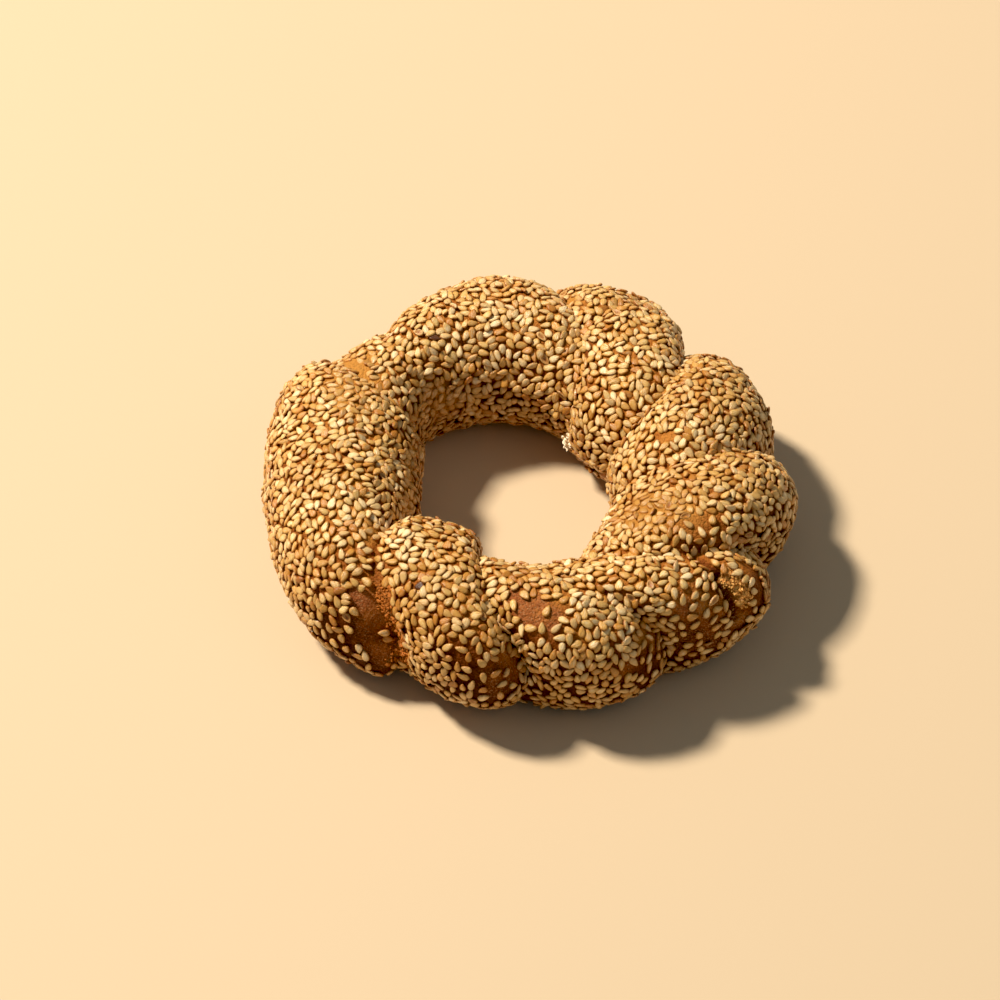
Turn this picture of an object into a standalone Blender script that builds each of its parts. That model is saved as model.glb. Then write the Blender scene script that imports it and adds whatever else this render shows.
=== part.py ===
"""A simit: a twisted ring of baked dough with sesame seeds all over its crust.

Metres and degrees, +Z up. The ring lies flat, with its base on Z = 0 and the
middle of its outline over the origin. +Y is the side that was farthest from
the viewer in the reference picture, +X the right-hand side.

The dough is a torus whose vertices are moved to the form of a twisted rope:
grooves run over the ring on a slant, and plump lobes lie between them.
"""

import math
import random
from collections import namedtuple

import bmesh
import bpy
from mathutils import Matrix, Vector

MM = 0.001

# The rope's cross-section
CORE_HEIGHT = 17.5 * MM         # height of the middle of the rope above the base
UNDER_DEPTH = 19.5 * MM         # reach below the middle, before the base cuts it flat
TWIST_LAG = math.radians(12)    # how far below the rope's outer side a groove turns back
FADE_BELOW = 1.25               # how fast a groove closes up on the underside
RING_SHIFT = Vector((-0.0021, -0.0021, 0.0))   # from the middle of the outline to the ring's axis

# Mesh of the bare dough
ROWS = 18                       # vertices round the rope
TORUS_RADIUS = 48 * MM
TORUS_ROPE = 19 * MM

# Sesame seeds that are solid here
SEED_LENGTH = 3.4 * MM
SEED_WIDTH = 2.2 * MM
SEED_THICKNESS = 1.4 * MM
SEED_SIDES = 6
SEED_TOP = 0.62                 # size of a seed's flat top to that of its foot
SEED_TAPER = 0.45               # how much narrower the pointed end is
SEED_PROUD = 0.1 * MM           # height of a seed's middle above the crust
SEED_COUNT = 230
SEED_SPACING = 7 * MM           # between the middles of two seeds, at first
SPACING_STEP = 0.95             # how much closer the seeds may lie at each further pass
SEED_LOWEST = 5 * MM            # the seeds stay clear of the base
SEED_STEEPEST_UNDERSIDE = -0.55
SEED_SIZE_SPREAD = 0.1
RANDOM_SEED = 11

# A groove's direction from the ring's axis where it crosses the rope's outer and inner side,
# its depth outside, on top and inside, and how steeply the dough before and after it falls in
Groove = namedtuple("Groove", "outer inner deep_outer deep_top deep_inner steep_before steep_after")
GROOVES = [
    Groove(144, 150, 2.6 * MM, 1.4 * MM, 0.8 * MM, 4.0, 12.0),
    Groove(236.5, 209, 10.0 * MM, 4.0 * MM, 6.0 * MM, 4.0, 9.0),
    Groove(271, 248, 7.0 * MM, 3.6 * MM, 4.2 * MM, 5.0, 4.6),
    Groove(306.5, 280, 5.2 * MM, 1.2 * MM, 1.0 * MM, 3.6, 5.0),
    Groove(342, 298, 5.5 * MM, 3.2 * MM, 1.4 * MM, 3.0, 3.0),
    Groove(368.5, 351, 6.0 * MM, 3.8 * MM, 2.0 * MM, 2.8, 2.8),
    Groove(407, 382, 8.0 * MM, 4.6 * MM, 2.6 * MM, 2.8, 2.8),
    Groove(446, 421, 6.0 * MM, 3.6 * MM, 3.6 * MM, 4.0, 3.4),
    Groove(487, 492, 1.2 * MM, 1.2 * MM, 0.6 * MM, 4.0, 2.6),
]

# The lobe that follows each groove: its mesh columns, the radii of its outer and inner side
# about the ring's axis, and its height, each at the lobe's start, middle and end
Lobe = namedtuple("Lobe", "columns outer inner height")
LOBES = [
    Lobe(16, (75.5, 67.8, 78.0), (29.0, 27.0, 28.5), (36.0, 38.5, 37.0)),
    Lobe(9, (58.0, 66.5, 66.0), (31.0, 23.2, 23.5), (38.5, 38.5, 38.5)),
    Lobe(8, (61.5, 68.3, 67.0), (27.5, 30.0, 29.5), (37.5, 37.5, 37.5)),
    Lobe(8, (64.5, 72.8, 70.0), (29.5, 30.3, 31.0), (37.5, 37.5, 37.5)),
    Lobe(9, (68.0, 72.2, 72.2), (27.5, 25.2, 23.0), (38.5, 38.5, 38.5)),
    Lobe(9, (69.5, 71.0, 68.8), (22.7, 23.2, 23.7), (38.5, 38.5, 38.5)),
    Lobe(9, (70.6, 71.6, 70.0), (22.0, 22.2, 22.5), (38.0, 38.0, 38.0)),
    Lobe(10, (71.5, 69.8, 62.5), (27.0, 32.0, 36.0), (37.5, 37.0, 36.5)),
    Lobe(6, (62.5, 64.2, 64.5), (36.0, 34.5, 33.0), (34.5, 34.5, 34.5)),
]
COLUMNS = sum(lobe.columns for lobe in LOBES)

# Short dents in the crust, each from one point to another, as direction from the ring's
# axis and angle up round the rope, with half width and depth; a negative depth is a swelling
Dent = namedtuple("Dent", "start end half_width depth")
DENTS = [
    Dent((321.8, 64), (321.4, 12), 2.4 * MM, 3.0 * MM),     # crack across a lobe
    Dent((328, 48), (328, 4), 3.8 * MM, -1.4 * MM),         # knob beside the crack
    Dent((70, 108), (60, 34), 2.6 * MM, 1.1 * MM),          # end of the other strand
]
ACROSS_RING = 1.3               # length of a degree along the ring where the dents lie, to that at its core

# Places where the crust is bare: direction, angle up round the rope, and radius
BARE_PATCHES = [
    (229, 36, 5 * MM), (231, 14, 5.5 * MM), (234, -10, 4 * MM), (272, 68, 5 * MM), (266, 14, 5 * MM),
    (321.5, 40, 4 * MM), (328, 34, 4.5 * MM), (330, 80, 3 * MM), (6, 115, 3 * MM), (145, 70, 4.5 * MM),
    (76, 57, 3 * MM),
]
PATCH_STEPS = 4                 # places tried in each column, to find a patch's middle

CRUST_COLOUR = (0.42, 0.2, 0.06, 1)
CRUST_ROUGHNESS = 0.6


def clear_scene():
    """Remove every object of the scene."""
    for old in list(bpy.data.objects):
        bpy.data.objects.remove(old, do_unlink=True)


def along(values, t):
    """A lobe's measure at t from 0 to 1, on a smooth curve through its three values."""
    start, middle, end = values
    return start * (1 - t) * (1 - 2 * t) + middle * 4 * t * (1 - t) + end * t * (2 * t - 1)


def groove_direction(groove, angle):
    """Direction of a groove from the ring's axis, in degrees, at an angle up round the rope."""
    middle = (groove.outer + groove.inner) / 2
    return middle + (groove.outer - groove.inner) / 2 * math.cos(angle + TWIST_LAG)


def groove_depth(groove, angle):
    """Depth of a groove at an angle up round the rope."""
    level, rise = math.cos(angle), math.sin(angle)
    side = groove.deep_outer if level > 0 else groove.deep_inner
    top = groove.deep_top if rise > 0 else 0
    fade = max(0.0, 1 + FADE_BELOW * min(rise, 0))
    return (side * level ** 2 + top * rise ** 2) * fade


def dent_depth(direction, angle, rope_radius):
    """How far the dents push the crust in at one point of the ring."""
    push = 0
    for dent in DENTS:
        def place(turn, lift):
            return Vector((math.radians(turn - dent.start[0]) * TORUS_RADIUS * ACROSS_RING,
                           math.radians(lift - dent.start[1]) * rope_radius))
        point, tip = place(direction, math.degrees(angle)), place(*dent.end)
        share = min(max(point.dot(tip) / tip.length_squared, 0), 1)
        gap = (point - tip * share).length / dent.half_width
        push += dent.depth * math.exp(-gap * gap)
    return push


def dough_point(column, angle):
    """The crust at a column along the ring, which may be a fraction, and an angle up round the rope."""
    index, first = 0, 0
    while column >= first + LOBES[index].columns:
        first += LOBES[index].columns
        index += 1
    lobe, before, after = LOBES[index], LOBES[index - 1], LOBES[(index + 1) % len(LOBES)]
    start, end = GROOVES[index], GROOVES[(index + 1) % len(GROOVES)]
    turn = 360 if index == len(LOBES) - 1 else 0
    t = (column - first) / lobe.columns

    low = groove_direction(start, angle)
    direction = low + (groove_direction(end, angle) + turn - low) * t

    # The lobe swells between its grooves, where it meets its neighbours half way
    if t < 0.5:
        edge = abs(2 * t - 1) ** start.steep_after
        meets, groove, own, other = before, start, 0, 2
    else:
        edge = abs(2 * t - 1) ** end.steep_before
        meets, groove, own, other = after, end, 2, 0
    size = [along(mine, t) + (theirs[other] - mine[own]) / 2 * edge
            for mine, theirs in zip(lobe[1:], meets[1:])]
    outer, inner, height = (value * MM for value in size)

    level, rise = math.cos(angle), math.sin(angle)
    half_width = (outer - inner) / 2
    half_height = height - CORE_HEIGHT if rise > 0 else UNDER_DEPTH
    rope = 1 / math.hypot(level / half_width, rise / half_height)
    rope -= groove_depth(groove, angle) * edge + dent_depth(direction % 360, angle, rope)
    reach = (outer + inner) / 2 + rope * level
    around = math.radians(direction)
    return Vector((reach * math.cos(around), reach * math.sin(around),
                   max(CORE_HEIGHT + rope * rise, 0)))


def make_crust_material():
    """Matt golden-brown crust."""
    material = bpy.data.materials.new("crust")
    material.use_nodes = True
    shader = material.node_tree.nodes["Principled BSDF"]
    shader.inputs["Base Color"].default_value = CRUST_COLOUR
    shader.inputs["Roughness"].default_value = CRUST_ROUGHNESS
    shader.inputs["Metallic"].default_value = 0
    return material


def make_dough(collection):
    """The bare ring: a torus with each vertex moved to the crust."""
    bpy.ops.mesh.primitive_torus_add(
        major_segments=COLUMNS, minor_segments=ROWS, major_radius=TORUS_RADIUS, minor_radius=TORUS_ROPE)
    ring = bpy.context.object
    ring.name = ring.data.name = "simit"
    for owner in list(ring.users_collection):
        owner.objects.unlink(ring)
    collection.objects.link(ring)
    for vertex in ring.data.vertices:
        x, y, z = vertex.co
        column = round((math.atan2(y, x) / math.tau % 1) * COLUMNS) % COLUMNS
        angle = math.atan2(z, math.hypot(x, y) - TORUS_RADIUS)
        vertex.co = dough_point(column, angle) + RING_SHIFT
    ring.data.update()
    return ring


def make_seed_mesh():
    """A low flat teardrop, its pointed end towards +X and its foot sunk in the crust."""
    seed = bmesh.new()
    bmesh.ops.create_cone(seed, cap_ends=True, segments=SEED_SIDES, radius1=1, radius2=SEED_TOP,
                          depth=SEED_THICKNESS, matrix=Matrix.Rotation(math.pi / 2, 4, "Z"))
    for vertex in seed.verts:
        x, y, z = vertex.co
        narrow = 1 - SEED_TAPER * (1 + x) / 2
        vertex.co = (x * SEED_LENGTH / 2, y * narrow * SEED_WIDTH / 2, z)
    mesh = bpy.data.meshes.new("seed")
    seed.to_mesh(mesh)
    seed.free()
    return mesh


def patch_centre(direction, lift):
    """The crust's point in a direction from the ring's axis, at an angle up round the rope."""
    around, angle = math.radians(direction), math.radians(lift)
    ahead = Vector((math.cos(around), math.sin(around)))
    points = [dough_point(step / PATCH_STEPS, angle) for step in range(COLUMNS * PATCH_STEPS)]
    return max(points, key=lambda point: point.xy.normalized().dot(ahead)) + RING_SHIFT


def seed_places(ring, draw):
    """Spots on the crust for the solid seeds, spread evenly: point and outward direction.

    Each is at the middle of a face of the bare dough, so that a seed crosses few edges.
    """
    bare = [(patch_centre(direction, lift), radius) for direction, lift, radius in BARE_PATCHES]
    free = [(face.center.copy(), face.normal.copy()) for face in ring.data.polygons
            if face.center.z > SEED_LOWEST and face.normal.z > SEED_STEEPEST_UNDERSIDE
            and all((face.center - middle).length > radius for middle, radius in bare)]
    draw.shuffle(free)
    places = []
    spacing = SEED_SPACING
    while len(places) < SEED_COUNT:
        for point, normal in free:
            if len(places) < SEED_COUNT and all((point - other).length > spacing for other, _ in places):
                places.append((point, normal))
        spacing *= SPACING_STEP
    return places


def make_seeds(ring, collection):
    """Lay the solid seeds flat on the crust, each turned at random."""
    draw = random.Random(RANDOM_SEED)
    mesh = make_seed_mesh()
    for number, (point, normal) in enumerate(seed_places(ring, draw)):
        seed = bpy.data.objects.new(f"seed_{number:03d}", mesh)
        collection.objects.link(seed)
        spin = Matrix.Rotation(draw.uniform(0, math.tau), 4, "Z")
        size = 1 + draw.uniform(-SEED_SIZE_SPREAD, SEED_SIZE_SPREAD)
        turn = normal.to_track_quat("Z", "Y").to_matrix().to_4x4()
        seed.matrix_world = Matrix.Translation(point + normal * SEED_PROUD) @ turn @ spin @ Matrix.Scale(size, 4)


def fuse(ring, seeds):
    """Join the seeds to the dough as one solid."""
    union = ring.modifiers.new("seeds", "BOOLEAN")
    union.operation = "UNION"
    union.operand_type = "COLLECTION"
    union.collection = seeds
    union.solver = "EXACT"
    bpy.context.view_layer.update()
    bpy.context.view_layer.objects.active = ring
    bpy.ops.object.modifier_apply(modifier=union.name)
    for seed in list(seeds.objects):
        bpy.data.objects.remove(seed, do_unlink=True)
    bpy.data.collections.remove(seeds)


def main():
    clear_scene()
    parts = bpy.data.collections.new("simit_parts")
    seeds = bpy.data.collections.new("seeds")
    for collection in (parts, seeds):
        bpy.context.scene.collection.children.link(collection)
    ring = make_dough(parts)
    make_seeds(ring, seeds)
    fuse(ring, seeds)
    ring.data.materials.clear()
    ring.data.materials.append(make_crust_material())
    ring.data.shade_smooth()


main()
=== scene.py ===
import math
from collections import namedtuple

import bpy
import numpy as np
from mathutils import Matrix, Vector, noise


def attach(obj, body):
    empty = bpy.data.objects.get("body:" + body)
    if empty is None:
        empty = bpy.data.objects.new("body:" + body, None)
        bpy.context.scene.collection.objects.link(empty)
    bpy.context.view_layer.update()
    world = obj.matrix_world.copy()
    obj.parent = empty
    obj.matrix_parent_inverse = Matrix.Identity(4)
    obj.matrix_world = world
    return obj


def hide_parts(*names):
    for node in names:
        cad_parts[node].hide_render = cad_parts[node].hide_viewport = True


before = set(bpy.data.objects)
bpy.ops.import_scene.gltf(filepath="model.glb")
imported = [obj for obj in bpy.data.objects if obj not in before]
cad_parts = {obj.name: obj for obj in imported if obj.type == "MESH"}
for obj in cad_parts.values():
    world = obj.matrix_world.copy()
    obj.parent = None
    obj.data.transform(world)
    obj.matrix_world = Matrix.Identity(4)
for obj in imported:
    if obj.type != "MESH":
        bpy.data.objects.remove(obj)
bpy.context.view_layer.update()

# A simit: a twisted ring of baked dough, with its crust and some thousands of
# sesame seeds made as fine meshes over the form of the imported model.
# Metres and degrees; +X is the right-hand side of the picture, +Y its far side.

MM = 0.001

# The photograph's view of the ring
FRAME_SIDE = 1000                               # pixels
LENS = 180                                      # millimetres, on a 36 mm sensor
SENSOR = 36
VIEW_ELEVATION = math.radians(50.3)
VIEW_DISTANCE = 1.3199                          # metres
RING_MIDDLE = Vector((-0.0021, -0.0021, 0.018))
MIDDLE_PIXEL = (522, 493)                       # where the ring's middle shows
BLACK_LEVEL = 0.005                             # of the photograph, whose shadows are deep

# Form of the bare dough, as in the model's source
CORE_HEIGHT = 17.5 * MM
UNDER_DEPTH = 19.5 * MM
TWIST_LAG = math.radians(12)
FADE_BELOW = 1.25
RING_SHIFT = np.array((-0.0021, -0.0021, 0.0))
TORUS_RADIUS = 48 * MM
ACROSS_RING = 1.3               # length of a degree along the ring where the dents lie, to that at its core

# A groove's direction from the ring's axis where it crosses the rope's outer and inner side, its
# depth there and on top, how steeply the dough before and after it falls in, and how bare it is
Groove = namedtuple("Groove", "outer inner deep_outer deep_top deep_inner steep_before steep_after bare")
GROOVES = [
    Groove(144, 150, 2.6, 1.4, 0.8, 4.0, 12.0, 0.0),
    Groove(236.5, 209, 10.0, 4.0, 6.0, 4.0, 9.0, 1.0),
    Groove(271, 248, 7.0, 3.6, 4.2, 5.0, 4.6, 0.9),
    Groove(306.5, 280, 5.2, 1.2, 1.0, 3.6, 5.0, 0.3),
    Groove(342, 298, 5.5, 3.2, 1.4, 3.0, 3.0, 0.6),
    Groove(368.5, 351, 6.0, 3.8, 2.0, 2.8, 2.8, 0.3),
    Groove(407, 382, 8.0, 4.6, 2.6, 2.8, 2.8, 0.3),
    Groove(446, 421, 6.0, 3.6, 3.6, 4.0, 3.4, 0.5),
    Groove(487, 492, 1.2, 1.2, 0.6, 4.0, 2.6, 0.0),
]

# The lobe that follows each groove: its columns, the radii of its outer and inner side about
# the ring's axis, and its height, each at the lobe's start, middle and end
Lobe = namedtuple("Lobe", "columns outer inner height")
LOBES = [
    Lobe(16, (75.5, 67.8, 78.0), (29.0, 27.0, 28.5), (36.0, 38.5, 37.0)),
    Lobe(9, (58.0, 66.5, 66.0), (31.0, 23.2, 23.5), (38.5, 38.5, 38.5)),
    Lobe(8, (61.5, 68.3, 67.0), (27.5, 30.0, 29.5), (37.5, 37.5, 37.5)),
    Lobe(8, (64.5, 72.8, 70.0), (29.5, 30.3, 31.0), (37.5, 37.5, 37.5)),
    Lobe(9, (68.0, 72.2, 72.2), (27.5, 25.2, 23.0), (38.5, 38.5, 38.5)),
    Lobe(9, (69.5, 71.0, 68.8), (22.7, 23.2, 23.7), (38.5, 38.5, 38.5)),
    Lobe(9, (70.6, 71.6, 70.0), (22.0, 22.2, 22.5), (38.0, 38.0, 38.0)),
    Lobe(10, (71.5, 69.8, 62.5), (27.0, 32.0, 36.0), (37.5, 37.0, 36.5)),
    Lobe(6, (62.5, 64.2, 64.5), (36.0, 34.5, 33.0), (34.5, 34.5, 34.5)),
]

# Short dents, each from one point to another, as direction from the ring's axis and angle up
# round the rope; a negative depth makes a swelling
Dent = namedtuple("Dent", "start end half_width depth")
DENTS = [
    Dent((322, 68), (321.8, 50), 1.3 * MM, 2.6 * MM),
    Dent((320.8, 48), (320.8, 10), 1.3 * MM, 3.2 * MM),
    Dent((322.6, 46), (322.6, 12), 1.4 * MM, 2.3 * MM),
    Dent((328, 48), (328, 4), 3.8 * MM, -1.4 * MM),
    Dent((70, 108), (60, 34), 2.6 * MM, 1.1 * MM),
]

# The crust lies this far inside that form, so that the seeds' tops reach its outline
CRUST_INSET = 0.5 * MM
COLUMN_SPLIT = 7
MESH_COLUMNS = sum(lobe.columns for lobe in LOBES)
COLUMNS = MESH_COLUMNS * COLUMN_SPLIT
VALLEY_COLUMNS = 0.6            # half width of a groove's bare bottom
ROWS = 160
Lump = namedtuple("Lump", "height waves offset")
LUMPS = [Lump(0.35 * MM, 9 * MM, 0.0), Lump(0.16 * MM, 3.5 * MM, 7.0)]      # unevenness of the crust

# Sesame seeds, the first layer pressed flat into the crust and the second lying over its edges
SEED_LENGTH = 3.4 * MM
SEED_WIDTH = 1.95 * MM
SEED_THICKNESS = 1.0 * MM
SEED_SEGMENTS = 12
SEED_TAPER, SEED_ROUND = 0.36, 0.06     # how much narrower a seed is towards its tip, and at both ends

# The rings of a seed from its foot to its crown: size as a share of its outline, height as a share
# of half its thickness, and how dark with syrup and painted shade it is
SeedLevel = namedtuple("SeedLevel", "size height rim")
SEED_FOOT = [SeedLevel(0.80, -0.6, 1.0), SeedLevel(1.0, -0.05, 0.85)]
FULL_SEED = SEED_FOOT + [SeedLevel(0.9, 0.66, 0.5), SeedLevel(0.6, 0.95, 0.14), SeedLevel(0.0, 1.0, 0.0)]
HOLLOW_SEED = SEED_FOOT + [SeedLevel(0.86, 0.75, 0.1), SeedLevel(0.62, 0.55, 0.5), SeedLevel(0.0, -0.1, 1.0)]

# Discs that stand for a seed's outline while it is fitted in: place along the seed, and radius
SEED_DISCS = [(-0.84 * MM, 0.79 * MM), (0.13 * MM, 0.86 * MM), (1.05 * MM, 0.5 * MM)]
SEED_TURNS = 10                 # directions tried for each seed

# Tries, least gap between middles, overlap allowed, lift over the seeds below, and random tilt
Layer = namedtuple("Layer", "tries gap overlap lift tilt")
SEED_LAYERS = [
    Layer(32000, 1.4 * MM, 0.3 * MM, 0.0, 0.15),
    Layer(80000, 0.95 * MM, 2.0 * MM, 0.36 * MM, 0.26),
]
GAP_WAVES = 2.4 * MM            # size of the small gaps where no seeds stuck
GAP_OFFSET = 11.0
GAP_LEVEL, GAP_SHARE = 0.6, 0.48        # the noise below which they stick, and how much lower where few do
THIN_GAP = 2.5 * MM             # between the middles of seeds where few stuck
THIN_OVERLAP = 0.15 * MM
THIN_SOFT = 6 * MM              # how gradually the thin places begin
LOW_FROM, LOW_TO = 33 * MM, 9 * MM      # the rope's outer side has fewer as it nears the ground
LOW_THIN = 0.78
SEED_LEAN = 0.34                # how far a seed leans on the ones that it overlaps
SEED_PROUD = (0.14, 0.38)       # height of a seed's middle above the crust, in millimetres
SEED_SPREAD = (0.07, 0.09, 0.12)        # how much its length, width and thickness vary
SEED_LOWEST = 1.2 * MM
SEED_STEEPEST = -0.75           # of the crust's normal, on the underside
GROUND_GAP = 0.2 * MM           # seeds and crumbs stay this far above the ground
FILM_SINK = 0.35 * MM           # how far a film of dough draws a seed in
CELL = 3.4 * MM                 # side of the cells in which near seeds are looked up
RANDOM_SEED = 7

# Places of the crust: direction from the ring's axis, angle up round the rope, radius
RED_PATCHES = [                 # bare, with a red-brown crust
    (271, 73, 3.6 * MM), (267.5, 82, 2.4 * MM), (274.5, 80, 2.6 * MM), (273.5, 66, 2.6 * MM),
    (276.5, 62, 2.2 * MM), (278.5, 70, 1.9 * MM), (270, 62, 1.8 * MM), (310, 44, 2.2 * MM),
    (226, 42, 3.2 * MM),
]
LOW_PATCHES = [                 # bare and low on the rope, but baked no darker there
    (266.5, 22, 3.4 * MM), (268, 11, 3.4 * MM), (263, 6, 2.6 * MM), (293, 14, 2.2 * MM),
    (302, 20, 2.2 * MM), (309, -4, 2.4 * MM), (304, 2, 3.0 * MM),
]
PALE_PATCHES = [                # bare, with a golden crust
    (328, 40, 2.6 * MM), (329.5, 31, 3.4 * MM), (328.5, 22, 3.0 * MM), (327, 14, 2.4 * MM),
    (330, 80, 2.6 * MM), (6, 115, 2.9 * MM), (76, 57, 2.2 * MM), (144, 63, 2.7 * MM),
    (145, 74, 2.5 * MM), (146, 84, 2.4 * MM),
]
FILM_PATCHES = [                # thin smears of pale dough, in which the seeds lie deep
    (143, 64, 7 * MM), (147, 80, 7 * MM), (155, 86, 6 * MM), (160, 95, 6 * MM), (150, 104, 5 * MM),
    (128, 168, 7 * MM), (76, 58, 4 * MM), (298, 34, 2.6 * MM), (214, 98, 3 * MM), (326, 120, 8 * MM),
    (332, 98, 5 * MM),
]
DARK_PATCHES = [(231, 14, 9 * MM), (307, 0, 5 * MM), (285, 2, 6 * MM)]
LIGHT_PATCHES = [               # where the crust is less baked
    (309, 34, 9 * MM), (312, 8, 9 * MM), (320, 18, 7 * MM), (265, 8, 5 * MM),
]
DULL_SHADED_PATCHES = [                # where crust and seeds are a little browner and darker than elsewhere, partly painted shade
    (333, 110, 14 * MM), (246, 68, 12 * MM), (256, 29, 12 * MM), (218, 31, 12 * MM), (269, 106, 8 * MM),
    (63, 56, 6 * MM), (188, 64, 9 * MM), (20, 78, 12 * MM), (354, 62, 9 * MM), (252, 46, 8 * MM),
]
THIN_PATCHES = [                # where fewer seeds stuck
    (262, 4, 9 * MM), (226, 56, 3 * MM), (300, 8, 8 * MM), (312, 6, 8 * MM), (312, 36, 9 * MM),
    (330, 72, 6 * MM), (322, 74, 5 * MM), (275, 66, 8 * MM), (226, -4, 9 * MM), (256, 29, 6 * MM),
]
PatchRow = namedtuple("PatchRow", "start end radius count")
FISSURE_ROWS = [
    PatchRow((322, 66), (321.8, 50), 2.6 * MM, 5), PatchRow((321.3, 48), (321.3, 8), 4.3 * MM, 8),
]
LOW_ROWS = [
    PatchRow((229, 45), (231, 2), 4.6 * MM, 6), PatchRow((231, 2), (235, -22), 3.4 * MM, 5),
    PatchRow((226.5, 72), (229, 52), 1.9 * MM, 4),
]
PALE_ROWS = [PatchRow((214, 98), (226, 68), 2.0 * MM, 6)]
FILM_ROWS = [PatchRow((147, 164), (200, 154), 4 * MM, 8)]
CHANNEL_SHADE_ROWS = [PatchRow((320.8, 66), (320.8, 10), 2.1 * MM, 10)]       # painted shade along the fissure's bottom
TORN_ROWS = [                   # torn crumb on the far wall of the fissure
    PatchRow((324.3, 45), (324.6, 24), 1.3 * MM, 9), PatchRow((323.4, 44), (323.6, 18), 1.1 * MM, 9),
]

# Torn crumb on a groove's far wall: columns along the ring, angles up the rope, and how softly it ends
Wall = namedtuple("Wall", "start end low high")
TORN_WALL = Wall(15.9, 17.4, -26, 60)
WALL_SOFT = (0.25, 8)
WALL_SHARE = 0.1                # how much of the crumb's colour shows there
DARK_SEEDS = [(142, 78), (120, 102), (240, 68)]

# How gradually the patches end, and how much their edges wander
PATCH_SOFT, BARE_SOFT = 2.5 * MM, 1.5 * MM      # in the crust's colour, and among the seeds
DARK_SOFT, LIGHT_SOFT, DULL_SOFT = 6 * MM, 5 * MM, 8 * MM
FILM_SOFT = 4 * MM
CHANNEL_SOFT = 1.5 * MM
TORN_SOFT, TORN_GRAIN_SOFT, TUFT_SOFT = 1.0 * MM, 1.2 * MM, 1.0 * MM
EDGE_WANDER, EDGE_WAVES = 0.9 * MM, 2.6 * MM
WALL_WANDER = 3 * MM            # of that, which moves the torn wall's edge by one column

# Ragged grains of crumb that stand out where the dough tore
GRAIN_TRIES = 240000
GRAIN_SIZES = (0.2 * MM, 0.66 * MM)
GRAIN_RAGGED = (0.35, 1.35)
GRAIN_STRETCH = (0.5, 1.5)
TORN_GRAINS, WALL_GRAINS = 0.8, 0.35    # how densely they stand in the fissure and on the groove's wall
TUFT = (58, 190, 1.7 * MM)      # a tuft of bare crumb on the rim of the hole
TUFT_RISE = 2.6 * MM
GRAIN_DARK = (0.30, 0.09, 0.014, 1)
GRAIN_PALE = (0.98, 0.53, 0.16, 1)
GRAIN_WALL = (0.46, 0.15, 0.03, 1)
GRAIN_WHITE = (0.95, 0.80, 0.58, 1)


def along(values, t):
    """A lobe's measure at t from 0 to 1, on a smooth curve through its three values."""
    start, middle, end = values
    return start * (1 - t) * (1 - 2 * t) + middle * 4 * t * (1 - t) + end * t * (2 * t - 1)


def groove_direction(groove, angle):
    """Direction of a groove from the ring's axis, in degrees, at angles up round the rope."""
    middle = (groove.outer + groove.inner) / 2
    return middle + (groove.outer - groove.inner) / 2 * np.cos(angle + TWIST_LAG)


def groove_depth(groove, angle):
    """Depth of a groove at angles up round the rope."""
    level, rise = np.cos(angle), np.sin(angle)
    side = np.where(level > 0, groove.deep_outer, groove.deep_inner)
    top = np.where(rise > 0, groove.deep_top, 0)
    fade = np.maximum(0, 1 + FADE_BELOW * np.minimum(rise, 0))
    return (side * level ** 2 + top * rise ** 2) * fade * MM


def dent_depth(direction, angle, rope_radius):
    """How far the dents push the crust in."""
    push = np.zeros_like(angle)
    for dent in DENTS:
        def place(turn, lift):
            across = np.radians(turn - dent.start[0]) * TORUS_RADIUS * ACROSS_RING
            up = np.radians(lift - dent.start[1]) * rope_radius
            return np.stack(np.broadcast_arrays(across, up))
        point, tip = place(direction, np.degrees(angle)), place(*dent.end)
        share = np.clip((point * tip).sum(0) / (tip * tip).sum(0), 0, 1)
        gap = np.linalg.norm(point - tip * share, axis=0) / dent.half_width
        push += dent.depth * np.exp(-gap * gap)
    return push


def dough_points(column, angle, inset=0.0):
    """The dough's surface at columns along the ring, counted as in LOBES, and angles up round the rope."""
    points = np.zeros(column.shape + (3,))
    first = 0
    for index, lobe in enumerate(LOBES):
        here = (column >= first) & (column < first + lobe.columns)
        t = (column[here] - first) / lobe.columns
        lift = angle[here]
        first += lobe.columns
        before, after = LOBES[index - 1], LOBES[(index + 1) % len(LOBES)]
        start, end = GROOVES[index], GROOVES[(index + 1) % len(GROOVES)]
        turn = 360 if index == len(LOBES) - 1 else 0
        low = groove_direction(start, lift)
        direction = low + (groove_direction(end, lift) + turn - low) * t

        early = t < 0.5
        edge = np.abs(2 * t - 1) ** np.where(early, start.steep_after, end.steep_before)
        sizes = []
        for mine, previous, following in zip(lobe[1:], before[1:], after[1:]):
            step = np.where(early, previous[2] - mine[0], following[0] - mine[2]) / 2
            sizes.append((along(mine, t) + step * edge) * MM)
        outer, inner, height = sizes

        level, rise = np.cos(lift), np.sin(lift)
        half_width = (outer - inner) / 2
        half_height = np.where(rise > 0, height - CORE_HEIGHT, UNDER_DEPTH)
        rope = 1 / np.hypot(level / half_width, rise / half_height)
        depth = np.where(early, groove_depth(start, lift), groove_depth(end, lift))
        rope = rope - depth * edge - dent_depth(direction % 360, lift, rope) - inset
        reach = (outer + inner) / 2 + rope * level
        around = np.radians(direction)
        points[here] = np.stack([reach * np.cos(around), reach * np.sin(around),
                                 np.maximum(CORE_HEIGHT + rope * rise, 0)], -1)
    return points + RING_SHIFT


def grid_normals(points):
    """Outward unit normals of a grid of points that closes both ways."""
    along_ring = np.roll(points, -1, 0) - np.roll(points, 1, 0)
    round_rope = np.roll(points, -1, 1) - np.roll(points, 1, 1)
    normals = np.cross(along_ring, round_rope)
    return normals / np.maximum(np.linalg.norm(normals, axis=-1, keepdims=True), 1e-12)


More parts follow.
